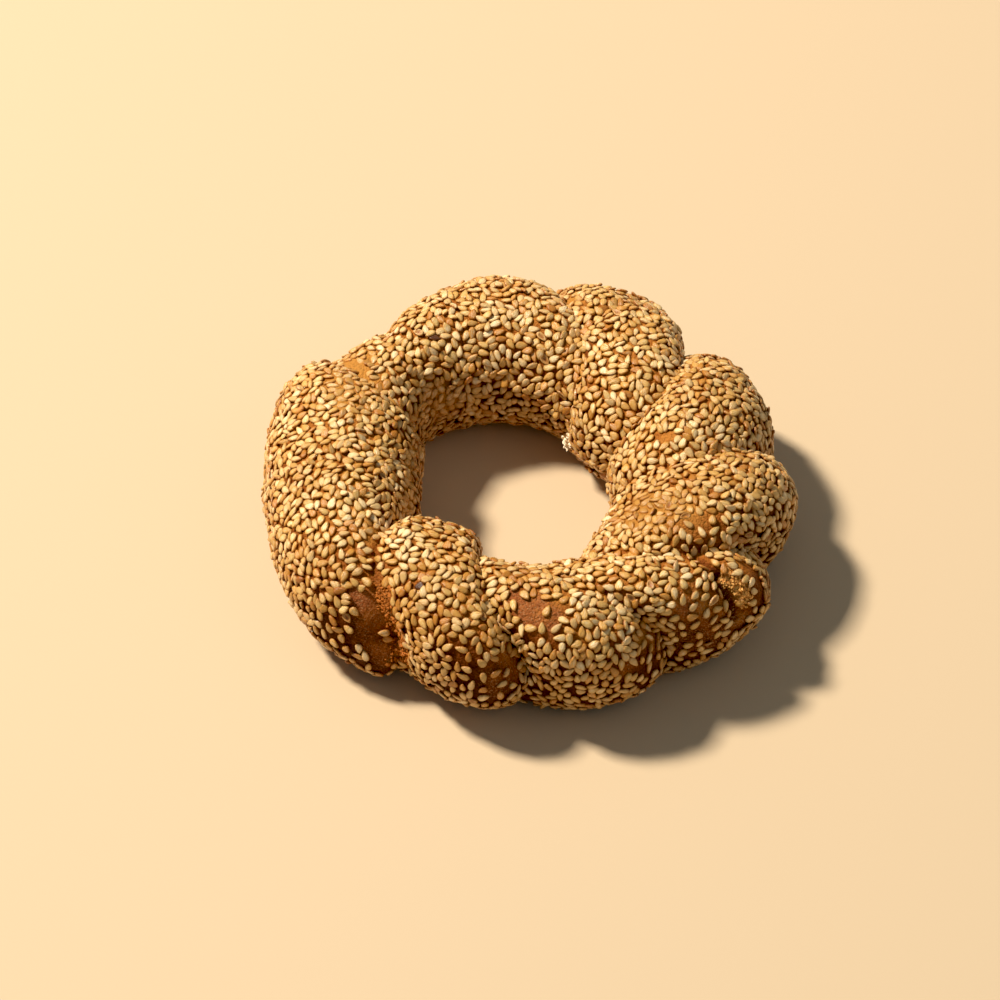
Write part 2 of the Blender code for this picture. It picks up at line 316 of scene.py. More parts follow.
def noise_at(points, scale, offset=0.0):
    """Smooth noise from -1 to 1 at an array of points, whose waves are about scale long."""
    flat = points.reshape(-1, 3) / scale + offset
    values = np.array([noise.noise(Vector(point)) for point in flat])
    return values.reshape(points.shape[:-1])


def crust_grid():
    """Points of the crust, row by row round the rope and column by column along the ring."""
    column = np.arange(COLUMNS) / COLUMN_SPLIT
    angle = np.arange(ROWS) / ROWS * math.tau
    column, angle = np.meshgrid(column, angle, indexing="ij")
    points = dough_points(column, angle, CRUST_INSET)
    lumps = sum(lump.height * noise_at(points, lump.waves, lump.offset) for lump in LUMPS)
    points = points + grid_normals(points) * lumps[..., None]
    points[..., 2] = np.maximum(points[..., 2], 0)
    return points


def grid_faces(columns, rows):
    """The four-cornered faces of a grid that closes both ways."""
    i, j = np.meshgrid(np.arange(columns), np.arange(rows), indexing="ij")
    after, above = (i + 1) % columns, (j + 1) % rows
    corners = [i * rows + j, after * rows + j, after * rows + above, i * rows + above]
    return np.stack(corners, -1).reshape(-1, 4)


def copied_faces(faces, points, copies):
    """The faces of many copies of a shape that has so many points."""
    return (faces[None] + (np.arange(copies) * points)[:, None, None]).reshape(-1, 3)


def make_object(name, points, faces, material):
    """A smooth mesh object from arrays of points and faces, riding on the ring's body."""
    mesh = bpy.data.meshes.new(name)
    mesh.from_pydata(points.reshape(-1, 3), [], faces)
    mesh.shade_smooth()
    mesh.materials.append(material)
    piece = bpy.data.objects.new(name, mesh)
    bpy.context.scene.collection.objects.link(piece)
    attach(piece, "root")
    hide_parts("simit")
    return piece


def surface_point(direction, lift):
    """The point of the crust in a direction from the ring's axis, at an angle up round the rope."""
    column = np.arange(0, COLUMNS) / COLUMN_SPLIT
    points = dough_points(column, np.full_like(column, math.radians(lift)), CRUST_INSET)
    ahead = np.array((math.cos(math.radians(direction)), math.sin(math.radians(direction))))
    flat = (points - RING_SHIFT)[:, :2]
    return points[np.argmax(flat @ ahead / np.linalg.norm(flat, axis=1))]


def row_patches(rows):
    """Patches spaced evenly along each row."""
    return [(*(np.array(row.start) + (np.array(row.end) - row.start) * share), row.radius)
            for row in rows for share in np.linspace(0, 1, row.count)]


def valley(column):
    """From 0 to 1, how bare of seeds the crust is near the bottom of a groove, at columns along the ring."""
    bare = np.zeros_like(column)
    middle = 0
    for groove, lobe in zip(GROOVES, LOBES):
        gap = np.abs((column - middle + MESH_COLUMNS / 2) % MESH_COLUMNS - MESH_COLUMNS / 2)
        bare = np.maximum(bare, groove.bare * np.exp(-(gap / VALLEY_COLUMNS) ** 2))
        middle += lobe.columns
    return bare


def torn_wall(column, lift):
    """From 0 to 1, how far inside the torn wall columns along the ring and angles up the rope are."""
    across = np.minimum(column - TORN_WALL.start, TORN_WALL.end - column) / WALL_SOFT[0]
    level = np.minimum(lift - TORN_WALL.low, TORN_WALL.high - lift) / WALL_SOFT[1]
    return np.clip(np.minimum(across, level) + 0.5, 0, 1)


def patch_mask(points, patches, soft, waviness=0.0):
    """From 0 to 1, how far inside any of the patches the points are."""
    mask = np.zeros(points.shape[:-1])
    for direction, lift, radius in patches:
        gap = np.linalg.norm(points - surface_point(direction, lift), axis=-1) + waviness
        mask = np.maximum(mask, np.clip((radius - gap) / soft + 0.5, 0, 1))
    return mask


def seed_shape(levels):
    """A flat teardrop lying along X with its tip at +X: points, triangles and how dark its rim is."""
    around = np.arange(SEED_SEGMENTS) / SEED_SEGMENTS * math.tau
    x, y = np.cos(around), np.sin(around)
    y = y * (1 - SEED_TAPER * x - SEED_ROUND * x * x)
    rings, crown = levels[:-1], levels[-1]
    points = [np.stack([x * level.size, y * level.size, np.full_like(x, level.height)], -1)
              for level in rings]
    points = np.concatenate(points + [np.array([[0, 0, crown.height], [0, 0, rings[0].height]])])
    rim = np.append(np.repeat([level.rim for level in rings], SEED_SEGMENTS), (crown.rim, rings[0].rim))
    faces = []
    top, bottom = len(points) - 2, len(points) - 1
    for k in range(SEED_SEGMENTS):
        n = (k + 1) % SEED_SEGMENTS
        for low in range(0, (len(rings) - 1) * SEED_SEGMENTS, SEED_SEGMENTS):
            high = low + SEED_SEGMENTS
            faces += [(low + k, low + n, high + n), (low + k, high + n, high + k)]
        last = (len(rings) - 1) * SEED_SEGMENTS
        faces += [(last + k, last + n, top), (n, k, bottom)]
    half = np.array((SEED_LENGTH, SEED_WIDTH, SEED_THICKNESS)) / 2
    return points * half, np.array(faces), rim


def candidates(points, normals, tries, draw):
    """Random spots on the crust, spread by area.

    Returns their points, normals, columns along the ring and angles up the rope.
    """
    faces = grid_faces(*points.shape[:2])
    corners = points.reshape(-1, 3)[faces]
    area = np.linalg.norm(np.cross(corners[:, 2] - corners[:, 0], corners[:, 3] - corners[:, 1]), axis=1) / 2
    chosen = draw.choice(len(faces), tries, p=area / area.sum())
    u, v = draw.random((2, tries, 1))
    weights = [(1 - u) * (1 - v), u * (1 - v), u * v, (1 - u) * v]
    spots = sum(weight * corners[chosen, k] for k, weight in enumerate(weights))
    facing = normals.reshape(-1, 3)[faces]
    turned = sum(weight * facing[chosen, k] for k, weight in enumerate(weights))
    column = (chosen // ROWS + u[:, 0]) / COLUMN_SPLIT
    lift = ((chosen % ROWS + v[:, 0]) / ROWS * 360 + 180) % 360 - 180
    return spots, turned / np.linalg.norm(turned, axis=1, keepdims=True), column, lift


def thinness(spots):
    """From 0 to 1, how far apart the seeds at the spots lie."""
    outside = np.hypot(spots[:, 0], spots[:, 1]) > TORUS_RADIUS
    low = np.clip((LOW_FROM - spots[:, 2]) / (LOW_FROM - LOW_TO), 0, 1) * outside
    return np.maximum(LOW_THIN * low, patch_mask(spots, THIN_PATCHES, THIN_SOFT))


Seed = namedtuple("Seed", "spot facing way up lift discs")
DISC_PLACES = np.array([place for place, _ in SEED_DISCS])
DISC_SIZES = np.array([size for _, size in SEED_DISCS])


def cells_round(spot):
    """The cell of a spot, and the cells round it."""
    x, y, z = (int(value) for value in np.floor(spot / CELL))
    return [(x + dx, y + dy, z + dz) for dx in (0, -1, 1) for dy in (0, -1, 1) for dz in (0, -1, 1)]


def fit_seed(spot, normal, turn, near, layer, thin):
    """The best way for a seed to lie at a spot among the near ones, or None where it doesn't fit."""
    gap = layer.gap + (THIN_GAP - layer.gap) * thin
    allowed = layer.overlap + (THIN_OVERLAP - layer.overlap) * thin
    if near and min(np.linalg.norm(np.array([seed.spot for seed in near]) - spot, axis=1)) < gap:
        return None
    side = np.cross(normal, (0.0, 0.0, 1.0))
    side /= max(np.linalg.norm(side), 1e-9)
    ahead = np.cross(side, normal)
    angles = turn + np.arange(SEED_TURNS) / SEED_TURNS * math.tau
    ways = np.cos(angles)[:, None] * side + np.sin(angles)[:, None] * ahead
    discs = spot + DISC_PLACES[None, :, None] * ways[:, None, :]
    if not near:
        return ways[0], discs[0], np.zeros(3), 0.0
    others = np.concatenate([seed.discs for seed in near])
    away = others[None, None] - discs[:, :, None, :]
    reach = DISC_SIZES[None, :, None] + np.tile(DISC_SIZES, len(near))[None, None]
    over = np.maximum(reach - np.linalg.norm(away, axis=-1), 0)
    total = over.sum((1, 2))
    best = int(np.argmin(total))
    if total[best] > allowed:
        return None
    lean = (away[best] * over[best][..., None]).sum((0, 1))
    return ways[best], discs[best], lean / max(np.linalg.norm(lean), 1e-9), total[best] / layer.overlap


def place_seeds(points, normals, draw):
    """Seeds that lie close together, layer by layer."""
    patches = RED_PATCHES + LOW_PATCHES + PALE_PATCHES
    patches += row_patches(FISSURE_ROWS + LOW_ROWS + PALE_ROWS + TORN_ROWS)
    cells = {}
    placed = []
    for layer in SEED_LAYERS:
        spots, facing, column, lift = candidates(points, normals, layer.tries, draw)
        bare = np.maximum(valley(column), torn_wall(column, lift))
        bare = np.maximum(patch_mask(spots, patches, BARE_SOFT), bare)
        thin = thinness(spots)
        free = draw.random(layer.tries) > bare
        free &= (spots[:, 2] > SEED_LOWEST) & (facing[:, 2] > SEED_STEEPEST)
        free &= noise_at(spots, GAP_WAVES, GAP_OFFSET) < GAP_LEVEL - GAP_SHARE * thin
        turns = draw.random(layer.tries) * math.tau
        for index in np.flatnonzero(free):
            spot, normal = spots[index], facing[index]
            around = cells_round(spot)
            near = [seed for cell in around for seed in cells.get(cell, ())]
            fit = fit_seed(spot, normal, turns[index], near, layer, thin[index])
            if fit is None:
                continue
            way, discs, lean, share = fit
            up = normal - lean * SEED_LEAN * share + draw.normal(0, layer.tilt, 3)
            raised = layer.lift * share + draw.uniform(*SEED_PROUD) * MM
            seed = Seed(spot, normal, way, up / np.linalg.norm(up), raised, discs)
            cells.setdefault(around[0], []).append(seed)
            placed.append(seed)
    return placed


def seed_frames(seeds, film, draw):
    """Each seed's middle, its three directions and its sizes; a film of dough draws it in."""
    count = len(seeds)
    spots, facing, ways, up = (np.array([seed[k] for seed in seeds]) for k in range(4))
    lift = np.array([seed.lift for seed in seeds]) - film * FILM_SINK
    ways = ways - up * (ways * up).sum(1, keepdims=True)
    ways /= np.linalg.norm(ways, axis=1, keepdims=True)
    side = np.cross(up, ways)
    sizes = np.stack([draw.normal(1, spread, count) for spread in SEED_SPREAD], -1)
    return spots + facing * lift[:, None], np.stack([ways, side, up], 1), sizes


def seed_points(shape, middles, directions, sizes):
    """The points of every seed, in rows of one seed each."""
    points = middles[:, None] + np.einsum("sik,skj->sij", shape[None] * sizes[:, None], directions)
    points[..., 2] = np.maximum(points[..., 2], GROUND_GAP)
    return points


# Each kind's share of all the seeds, its colour, the colour where it is toasted, and how pale its middle is,
# partly a painted highlight
SeedKind = namedtuple("SeedKind", "name share colour toasted ridge levels")
SEED_KINDS = [
    SeedKind("seeds_ivory", 0.25, (0.87, 0.60, 0.27, 1), (0.72, 0.39, 0.115, 1), 0.5, FULL_SEED),
    SeedKind("seeds_straw", 0.30, (0.82, 0.53, 0.185, 1), (0.66, 0.33, 0.075, 1), 0.5, FULL_SEED),
    SeedKind("seeds_golden", 0.275, (0.78, 0.445, 0.12, 1), (0.60, 0.262, 0.048, 1), 0.42, FULL_SEED),
    SeedKind("seeds_amber", 0.11, (0.72, 0.35, 0.07, 1), (0.53, 0.20, 0.028, 1), 0.3, FULL_SEED),
    SeedKind("seeds_toasted", 0.053, (0.60, 0.25, 0.042, 1), (0.44, 0.148, 0.02, 1), 0.25, FULL_SEED),
    SeedKind("seeds_hollow", 0.012, (0.74, 0.43, 0.15, 1), (0.53, 0.24, 0.05, 1), 0.2, HOLLOW_SEED),
    SeedKind("seeds_dark", 0.0, (0.12, 0.045, 0.02, 1), (0.07, 0.026, 0.012, 1), 0.0, FULL_SEED),
]
SEED_SHADE = (0.66, 0.56, 0.39, 1)      # the darkest and the lightest of each kind, as shares of its colour
SEED_GLOW = (1.12, 1.17, 1.22, 1)
SYRUP_AND_SHADE = (0.31, 0.088, 0.012, 1)         # dark syrup and painted shade round the foot of each seed
RIDGE_AND_HIGHLIGHT = (0.93, 0.79, 0.59, 1)           # the paler middle of a seed, partly a painted highlight
STREAKS = (1.6, 5.5, 60.0)              # waves of a seed's streaks along it, across it and from seed to seed

# How baked and how shaded by painted shade the crust and the seeds are, from 0 for golden to 1 for dark
# brown, and what lies on them
SYRUP_BAKE = 0.1                        # how much darker the crust is, apart from the pale patches
DARK_PATCH_AND_GROOVE_SHADE = 0.16                       # and in the dark patches, and as painted shade in the bare grooves
CHANNEL_SHADE = 0.85                     # and as painted shade at the bottom of the fissure
LOW_OPEN = 0.36                         # and how much lighter in the light patches
ROW_LIGHT = 0.6                         # how much of that there is in the rows of low patches
DULL_BAKE, DULL_SHADE = 0.14, 0.35      # how much browner and darker the dull places are, partly painted shade
BAKE_TOP, BAKE_SLOPE = 0.03, 0.95       # how dark the crust is on top, and how much darker below, by baking and painted shade
SEED_BAKE = 0.2                         # how much of the crust's baking and painted shade a seed has
SEED_BAKE_SPREAD = (0.08, 0.12)         # and the mean and spread of its own
SEED_SHADES = (0.1, 0.9)                # from dark to light
FILM_SHARE, SEED_FILM_SHARE = 0.85, 0.7         # how much of the film's colour shows on crust and seeds
FILM_DARK = (0.47, 0.17, 0.024, 1)      # thin dough over the crust
FILM_PALE = (0.66, 0.33, 0.075, 1)
SPECKS = (0.50, 0.25, 0.11, 1)          # flour and crumbs on the bare crust
DUST_SHARE = 0.8                        # how much of them there is in the bare patches
REDDER = (0.34, 0.10, 0.035, 1)         # the crust's colour in the red patches
RED_SHARE = 0.65                        # how much of it shows
CRUST_STOPS = [(0.0, (0.55, 0.210, 0.040)), (0.3, (0.38, 0.120, 0.021)), (0.6, (0.24, 0.064, 0.012)),
               (1.0, (0.095, 0.022, 0.0045))]
CRUMB_STOPS = [(0.38, (0.34, 0.09, 0.010)), (0.48, (0.92, 0.40, 0.070)), (0.58, (1.0, 0.68, 0.26))]

# Noise in the materials, in waves to the metre, and how high the bumps are
BROAD_WAVES, FINE_WAVES, GRIT_WAVES, PORE_WAVES, SPECK_WAVES = 130, 900, 2600, 1300, 2400
SEED_WAVES, CRUMB_WAVES = 1500, 1700
CRUST_BUMP, SEED_BUMP, CRUMB_BUMP = 0.9 * MM, 0.3 * MM, 0.3 * MM
CRUST_RELIEF, SEED_RELIEF, CRUMB_RELIEF = 0.8, 0.6, 0.6
CRUST_SHINE, SEED_SHINE, CRUMB_SHINE = 0.08, 0.5, 0.1
NOISE_MIDDLE = 0.5
NOISE_ENDS = (0.3, 0.7)                 # noise at which a surface is smoothest and roughest
CRUST_ROUGHNESS, SEED_ROUGHNESS = (0.42, 0.68), (0.24, 0.44)

# How much each kind of noise changes the crust's baking and adds to its bumps, where fine noise adds 1
BAKE_BROAD, BAKE_FINE, BAKE_GRIT = 0.9, 0.9, 0.7
BUMP_GRIT, BUMP_PORES, BUMP_TORN = 0.45, 0.5, 1.6
PORE_SHADE = (0.1, 0.32, 0.55, 1)       # painted shade in the pores: distances from a pore's middle, and how light it is at each
SPECK_NOISE = (0.57, 0.67)              # noise at which specks begin and are full
CRUMB_NOISE = (0.36, 0.55)              # noise at which a grain of crumb is dark and pale

# What a seed's tip and grain add to its baking, what darkens its foot with syrup and painted shade,
# and where that and the ridge's painted highlight begin
TIP_BAKE, GRAIN_BAKE = 0.35, 1.1
FOOT_RIM, FOOT_GRAIN, FOOT_STREAK = 0.85, 0.4, 1.2
SYRUP_AND_SHADE_EDGE, RIDGE_EDGE = (0.15, 0.85), (-0.1, 0.15)
RIDGE_SHADE, SHADE_GRAIN = 0.3, 0.6     # how much its shade lights its ridge and painted highlight, and its grain varies its shade
SHADE_ENDS = (-0.5, 1)                  # shades at which a seed would be darkest and lightest
BUMP_GRAIN, BUMP_STREAK = 0.7, 1.2

# Plain floor, soft light from the far left, and a pale surround
Light = namedtuple("Light", "name towards distance size power colour")
LIGHTS = [
    Light("key", (-0.555, 0.283, 0.783), 2.6, 0.34, 112, (1.0, 0.92, 0.79)),
    Light("fill", (0.85, -0.35, 0.9), 1.6, 1.2, 1.65, (0.80, 0.90, 0.96)),
]
FLOOR_SIDE = 6                          # metres
FLOOR_COLOUR, FLOOR_ROUGHNESS = (0.67, 0.51, 0.33, 1), 0.8
SURROUND_COLOUR, SURROUND_STRENGTH = (0.80, 0.86, 0.88, 1), 0.2


def add_node(tree, kind, inputs=None, **settings):
    """A shader node with its settings, and its inputs set to values or linked to outputs."""
    node = tree.nodes.new("ShaderNode" + kind)
    for name, value in settings.items():
        setattr(node, name, value)
    for socket, value in (inputs or {}).items():
        if isinstance(value, bpy.types.NodeSocket):
            tree.links.new(value, node.inputs[socket])
        else:
            node.inputs[socket].default_value = value
    return node


def sum_of(tree, *terms):
    """The sum of (output, factor, middle) terms, each output less its middle, times its factor."""
    total = 0.0
    for output, factor, middle in terms:
        total = add_node(tree, "Math", {0: output, 1: factor, 2: total}, operation="MULTIPLY_ADD").outputs[0]
        total = add_node(tree, "Math", {0: total, 1: factor * middle}, operation="SUBTRACT").outputs[0]
    return total


def mixed(tree, factor, first, second, blend="MIX"):
    """Two colours mixed by a factor."""
    node = add_node(tree, "Mix", {0: factor, 6: first, 7: second}, data_type="RGBA", blend_type=blend)
    return node.outputs[2]


def ramp(tree, factor, stops):
    """A colour for each value of the factor, from (place, colour) stops."""
    node = add_node(tree, "ValToRGB", {0: factor})
    elements = node.color_ramp.elements
    while len(elements) < len(stops):
        elements.new(0.5)
    for element, (place, colour) in zip(elements, stops):
        element.position = place
        element.color = (*colour, 1)
    return node.outputs["Color"]


def between(tree, value, low, high, to_low=0.0, to_high=1.0):
    """The value's place between low and high, clamped, as a number from to_low to to_high."""
    node = add_node(tree, "MapRange", {0: value, 1: low, 2: high, 3: to_low, 4: to_high})
    return node.outputs[0]


def new_material(name, roughness):
    """A material, its node tree and its shader."""
    material = bpy.data.materials.new(name)
    material.use_nodes = True
    shader = material.node_tree.nodes["Principled BSDF"]
    shader.inputs["Roughness"].default_value = roughness
    return material, material.node_tree, shader


def attribute(tree, name):
    """A number kept on the mesh."""
    return add_node(tree, "Attribute", attribute_name=name).outputs["Fac"]


def noise_node(tree, place, waves, detail, roughness=0.5):
    """Noise at a place, from 0 to 1."""
    inputs = {"Vector": place, "Scale": waves, "Detail": detail, "Roughness": roughness}
    return add_node(tree, "TexNoise", inputs).outputs["Fac"]


def product_of(tree, first, second):
    """Two outputs multiplied."""
    return add_node(tree, "Math", {0: first, 1: second}, operation="MULTIPLY").outputs[0]


def add_bumps(tree, shader, height, distance, strength):
    """Fine relief on a material, on top of the mesh's own form."""
    bump = add_node(tree, "Bump", {"Height": height, "Distance": distance, "Strength": strength})
    tree.links.new(bump.outputs["Normal"], shader.inputs["Normal"])


def crust_material():
    """Baked crust: golden on top to dark brown below by baking and painted shade, with painted shade in its
    pores, smears of dough and torn crumb.
    """
    material, tree, shader = new_material("crust", 0.6)
    place = add_node(tree, "TexCoord").outputs["Object"]
    broad = noise_node(tree, place, BROAD_WAVES, 3)
    fine = noise_node(tree, place, FINE_WAVES, 5, 0.7)
    grit = noise_node(tree, place, GRIT_WAVES, 2)
    specks = noise_node(tree, place, SPECK_WAVES, 1)
    pores = add_node(tree, "TexVoronoi", {"Vector": place, "Scale": PORE_WAVES}).outputs["Distance"]

    bake = sum_of(tree, (attribute(tree, "bake"), 1, 0), (broad, BAKE_BROAD, NOISE_MIDDLE),
                  (fine, BAKE_FINE, NOISE_MIDDLE), (grit, BAKE_GRIT, NOISE_MIDDLE))
    colour = ramp(tree, bake, CRUST_STOPS)
    colour = mixed(tree, attribute(tree, "red"), colour, REDDER)
    colour = mixed(tree, attribute(tree, "film"), colour, mixed(tree, fine, FILM_DARK, FILM_PALE))
    colour = mixed(tree, attribute(tree, "torn"), colour, ramp(tree, fine, CRUMB_STOPS))
    # painted shade in the pores
    colour = mixed(tree, 1.0, colour, between(tree, pores, *PORE_SHADE), "MULTIPLY")
    dusted = product_of(tree, between(tree, specks, *SPECK_NOISE), attribute(tree, "dust"))
    colour = mixed(tree, dusted, colour, SPECKS)
    tree.links.new(colour, shader.inputs["Base Color"])
    shader.inputs["Specular IOR Level"].default_value = CRUST_SHINE

    tree.links.new(between(tree, grit, *NOISE_ENDS, *CRUST_ROUGHNESS), shader.inputs["Roughness"])
    torn = product_of(tree, attribute(tree, "torn"), fine)
    height = sum_of(tree, (fine, 1, 0), (grit, BUMP_GRIT, 0), (pores, BUMP_PORES, 0), (torn, BUMP_TORN, 0))
    add_bumps(tree, shader, height, CRUST_BUMP, CRUST_RELIEF)
    return material


def seed_material(name, colour, toasted, ridge_highlight_share):
    """A seed's hull, with its own shade, a darker tip, syrup and painted shade round its foot, and a paler
    ridge that is partly a painted highlight.
    """
    material, tree, shader = new_material(name, 0.45)
    place = add_node(tree, "TexCoord").outputs["Object"]
    grain = noise_node(tree, place, SEED_WAVES, 4, 0.6)
    local = add_node(tree, "Attribute", attribute_name="local").outputs["Vector"]
    local = add_node(tree, "VectorMath", {0: local, 1: STREAKS}, operation="MULTIPLY").outputs[0]
    streak = noise_node(tree, local, 1, 2)
    bake = sum_of(tree, (attribute(tree, "bake"), 1, 0), (attribute(tree, "tip"), TIP_BAKE, 0),
                  (grain, GRAIN_BAKE, NOISE_MIDDLE))
    tint = mixed(tree, between(tree, bake, 0, 1), colour, toasted)
    tint = mixed(tree, attribute(tree, "film"), tint, FILM_PALE)
    foot = sum_of(tree, (attribute(tree, "rim"), FOOT_RIM, 0), (grain, FOOT_GRAIN, NOISE_MIDDLE),
                  (streak, FOOT_STREAK, NOISE_MIDDLE))
    # a paler ridge on the crown, partly a painted highlight
    ridge = sum_of(tree, (attribute(tree, "shade"), RIDGE_SHADE, 0.5), (foot, -1, 0))
    tint = mixed(tree, between(tree, ridge, *RIDGE_EDGE, 0, ridge_highlight_share), tint, RIDGE_AND_HIGHLIGHT)
    shade = sum_of(tree, (attribute(tree, "shade"), 1, 0), (grain, SHADE_GRAIN, NOISE_MIDDLE))
    light = mixed(tree, between(tree, shade, *SHADE_ENDS), SEED_SHADE, SEED_GLOW)
    tint = mixed(tree, 1.0, tint, light, "MULTIPLY")
    # syrup and painted shade round the seed's foot
    tint = mixed(tree, between(tree, foot, *SYRUP_AND_SHADE_EDGE), tint, SYRUP_AND_SHADE)
    tree.links.new(tint, shader.inputs["Base Color"])
    tree.links.new(between(tree, grain, *NOISE_ENDS, *SEED_ROUGHNESS), shader.inputs["Roughness"])
    shader.inputs["Specular IOR Level"].default_value = SEED_SHINE
    height = sum_of(tree, (grain, BUMP_GRAIN, 0), (streak, BUMP_STREAK, 0))
    add_bumps(tree, shader, height, SEED_BUMP, SEED_RELIEF)
    return material


def crumb_material():
    """Torn crumb: gold in the fissure, brown on the groove's wall and white in the tuft, with dark pores."""
    material, tree, shader = new_material("crumb", 0.6)
    place = add_node(tree, "TexCoord").outputs["Object"]
    fine = noise_node(tree, place, CRUMB_WAVES, 4)
    colour = mixed(tree, between(tree, fine, *CRUMB_NOISE), GRAIN_DARK, GRAIN_PALE)
    colour = mixed(tree, attribute(tree, "brown"), colour, GRAIN_WALL)
    colour = mixed(tree, attribute(tree, "white"), colour, GRAIN_WHITE)
    tree.links.new(colour, shader.inputs["Base Color"])
    shader.inputs["Specular IOR Level"].default_value = CRUMB_SHINE
    add_bumps(tree, shader, fine, CRUMB_BUMP, CRUMB_RELIEF)
    return material


def plain_material(name, colour, roughness):
    """A plain material, for the floor."""
    material, _, shader = new_material(name, roughness)
    shader.inputs["Base Color"].default_value = colour
    return material


def keep(piece, name, values):
    """Keep one number for each vertex of a piece, for its material."""
    layer = piece.data.attributes.new(name, "FLOAT", "POINT")
    layer.data.foreach_set("value", np.ascontiguousarray(values, np.float32).ravel())


def keep_vectors(piece, name, vectors):
    """Keep one vector for each vertex of a piece, for its material."""
    layer = piece.data.attributes.new(name, "FLOAT_VECTOR", "POINT")
    layer.data.foreach_set("vector", np.ascontiguousarray(vectors, np.float32).ravel())


def baking_and_shade(normals):
    """How dark the crust is, from 0 to 1: golden on top, brown on its sides and underside, by baking and
    painted shade.
    """
    slope = 1 - normals[..., 2]
    return np.clip(BAKE_TOP + BAKE_SLOPE * slope, 0, 1)


def make_camera():
    """The camera, as it stood for the photograph."""
    data = bpy.data.cameras.new("camera")
    data.lens = LENS
    data.sensor_width = SENSOR
    camera = bpy.data.objects.new("camera", data)
    forward = Vector((0, math.cos(VIEW_ELEVATION), -math.sin(VIEW_ELEVATION)))
    right = Vector((1, 0, 0))
    up = right.cross(forward)
    metres_per_pixel = VIEW_DISTANCE * SENSOR / LENS / FRAME_SIDE
    across = (MIDDLE_PIXEL[0] - FRAME_SIDE / 2) * metres_per_pixel
    down = (MIDDLE_PIXEL[1] - FRAME_SIDE / 2) * metres_per_pixel
    camera.location = RING_MIDDLE - forward * VIEW_DISTANCE - right * across + up * down
    camera.rotation_euler = (math.pi / 2 - VIEW_ELEVATION, 0, 0)
    bpy.context.scene.collection.objects.link(camera)
    bpy.context.scene.camera = camera


def make_light(light):
    """A square soft light that stands in a direction from the ring and faces it."""
    data = bpy.data.lights.new(light.name, "AREA")
    data.size = light.size
    data.energy = light.power
    data.color = light.colour
    lamp = bpy.data.objects.new(light.name, data)
    direction = Vector(light.towards).normalized()
    lamp.location = RING_MIDDLE + direction * light.distance
    lamp.rotation_euler = direction.to_track_quat("Z", "Y").to_euler()
    bpy.context.scene.collection.objects.link(lamp)


def make_stage():
    """Pale floor, soft light from the far left, and a pale surround."""
    bpy.ops.mesh.primitive_plane_add(size=FLOOR_SIDE, location=(0, 0, 0))
    floor = bpy.context.object
    floor.name = "floor"
    floor.data.materials.append(plain_material("floor", FLOOR_COLOUR, FLOOR_ROUGHNESS))
    for light in LIGHTS:
        make_light(light)
    world = bpy.data.worlds.new("world")
    world.use_nodes = True
    surround = world.node_tree.nodes["Background"]
    surround.inputs["Color"].default_value = SURROUND_COLOUR
    surround.inputs["Strength"].default_value = SURROUND_STRENGTH
    bpy.context.scene.world = world
    settings = bpy.context.scene.view_settings
    settings.view_transform = "Standard"
    settings.use_curve_mapping = True
    settings.curve_mapping.black_level = (BLACK_LEVEL,) * 3
    settings.curve_mapping.update()


def make_crust(points, normals):
    """The bare crust, with what its material reads."""
    crust = make_object("crust", points, grid_faces(COLUMNS, ROWS), crust_material())
    waves = EDGE_WANDER * noise_at(points, EDGE_WAVES, 3.0)
    column = np.arange(COLUMNS)[:, None] / COLUMN_SPLIT
    lift = (np.arange(ROWS)[None] / ROWS * 360 + 180) % 360 - 180
    low = valley(column)
    pale = patch_mask(points, PALE_PATCHES + row_patches(PALE_ROWS), PATCH_SOFT)
    dark = patch_mask(points, DARK_PATCHES, DARK_SOFT, waves)
    torn = np.maximum(patch_mask(points, row_patches(TORN_ROWS), TORN_SOFT, waves),
                      WALL_SHARE * torn_wall(column + waves / WALL_WANDER, lift))
    red = patch_mask(points, RED_PATCHES, PATCH_SOFT, waves)
    light = np.maximum(patch_mask(points, LOW_PATCHES, PATCH_SOFT, waves),
                       ROW_LIGHT * patch_mask(points, row_patches(LOW_ROWS), PATCH_SOFT, waves))
    light = np.maximum(light, patch_mask(points, LIGHT_PATCHES, LIGHT_SOFT, waves))
    # browner and darker places, partly painted shade
    dull_shaded = patch_mask(points, DULL_SHADED_PATCHES, DULL_SOFT)
    film = patch_mask(points, FILM_PATCHES + row_patches(FILM_ROWS), FILM_SOFT, waves)
    # darker below by baking and painted shade, and as painted shade in the bare grooves
    bake = baking_and_shade(normals) + SYRUP_BAKE * (1 - pale) + DARK_PATCH_AND_GROOVE_SHADE * np.maximum(dark, low)
    bake += DULL_BAKE * dull_shaded - LOW_OPEN * light
    # painted shade at the bottom of the fissure
    bake += CHANNEL_SHADE * patch_mask(points, row_patches(CHANNEL_SHADE_ROWS), CHANNEL_SOFT)
    keep(crust, "bake", bake)
    keep(crust, "film", FILM_SHARE * film)
    keep(crust, "torn", torn)
    keep(crust, "red", RED_SHARE * red)
    keep(crust, "dust", DUST_SHARE * np.maximum(red, light))


def choose_kinds(spots, draw):
    """The kind of each seed, with the dark ones at their own places."""
    kinds = draw.choice(len(SEED_KINDS), len(spots), p=[kind.share for kind in SEED_KINDS])
    for direction, lift in DARK_SEEDS:
        nearest = np.argmin(np.linalg.norm(spots - surface_point(direction, lift), axis=1))
        kinds[nearest] = len(SEED_KINDS) - 1
    return kinds


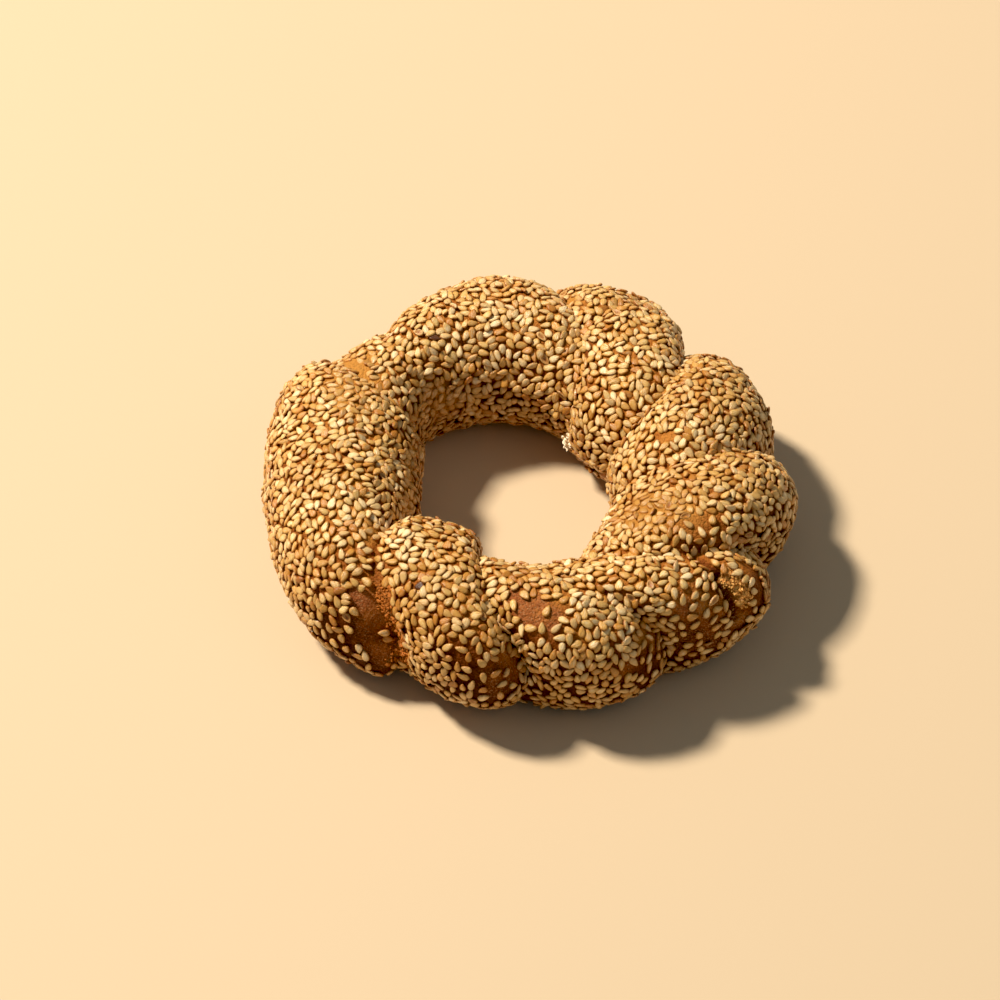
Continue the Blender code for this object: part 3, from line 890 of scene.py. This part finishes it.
def make_seeds(points, normals, draw):
    """All the seeds, one piece for each kind."""
    seeds = place_seeds(points, normals, draw)
    spots = np.array([seed.spot for seed in seeds])
    film = patch_mask(spots, FILM_PATCHES + row_patches(FILM_ROWS), FILM_SOFT)
    middles, directions, sizes = seed_frames(seeds, film, draw)
    facing = np.array([seed.facing for seed in seeds])
    # browner and darker places, partly painted shade
    dull_shaded = patch_mask(spots, DULL_SHADED_PATCHES, DULL_SOFT)
    # the crust's baking and painted shade below carry over to the seeds
    bake = SEED_BAKE * baking_and_shade(facing) + draw.normal(*SEED_BAKE_SPREAD, len(seeds)) + DULL_BAKE * dull_shaded
    shade = draw.uniform(*SEED_SHADES, len(seeds)) - DULL_SHADE * dull_shaded
    kinds = choose_kinds(spots, draw)
    for index, kind in enumerate(SEED_KINDS):
        shape, faces, rim = seed_shape(kind.levels)
        tip = np.clip(shape[:, 0] / SEED_LENGTH * 2, 0, 1)
        mine = kinds == index
        count = int(mine.sum())
        rows = seed_points(shape, middles[mine], directions[mine], sizes[mine])
        material = seed_material(kind.name, kind.colour, kind.toasted, kind.ridge)
        piece = make_object(kind.name, rows, copied_faces(faces, len(shape), count), material)
        for name, values in (("bake", bake), ("shade", shade), ("film", SEED_FILM_SHARE * film)):
            keep(piece, name, np.repeat(values[mine], len(shape)))
        for name, values in (("tip", tip), ("rim", rim)):
            keep(piece, name, np.tile(values, count))
        local = np.tile(shape / (SEED_LENGTH / 2, SEED_WIDTH / 2, 1), (count, 1))
        local[:, 2] = np.repeat(np.arange(count), len(shape))
        keep_vectors(piece, "local", local)
        print(kind.name, count, "seeds", count * len(faces), "triangles")


def make_crumbs(points, normals, draw):
    """Ragged grains of crumb in the fissure, on the groove's torn wall and in the tuft on the hole's rim."""
    spots, facing, column, lift = candidates(points, normals, GRAIN_TRIES, draw)
    torn = TORN_GRAINS * patch_mask(spots, row_patches(TORN_ROWS), TORN_GRAIN_SOFT)
    wall = WALL_GRAINS * torn_wall(column, lift)
    tuft = patch_mask(spots, [TUFT], TUFT_SOFT)
    spots = spots + facing * (draw.random(GRAIN_TRIES) * TUFT_RISE * tuft)[:, None]
    mine = draw.random(GRAIN_TRIES) < np.maximum(np.maximum(torn, wall), tuft)
    bpy.ops.mesh.primitive_ico_sphere_add(subdivisions=1, radius=1)
    pattern = bpy.context.object
    shape = np.array([vertex.co for vertex in pattern.data.vertices])
    faces = np.array([face.vertices for face in pattern.data.polygons])
    bpy.data.objects.remove(pattern)
    count = int(mine.sum())
    sizes = draw.uniform(*GRAIN_SIZES, (count, 1, 1)) * draw.uniform(*GRAIN_RAGGED, (count, len(shape), 1))
    sizes = sizes * draw.uniform(*GRAIN_STRETCH, (count, 1, 3))
    rows = spots[mine][:, None] + shape[None] * sizes
    rows[..., 2] = np.maximum(rows[..., 2], GROUND_GAP)
    piece = make_object("crumbs", rows, copied_faces(faces, len(shape), count), crumb_material())
    piece.data.shade_flat()
    keep(piece, "brown", np.repeat((wall > torn)[mine], len(shape)))
    keep(piece, "white", np.repeat((tuft > 0)[mine], len(shape)))
    print("crumbs", count, "grains", count * len(faces), "triangles")


def main():
    make_camera()
    make_stage()
    draw = np.random.default_rng(RANDOM_SEED)
    points = crust_grid()
    normals = grid_normals(points)
    make_crust(points, normals)
    make_seeds(points, normals, draw)
    make_crumbs(points, normals, draw)


main()
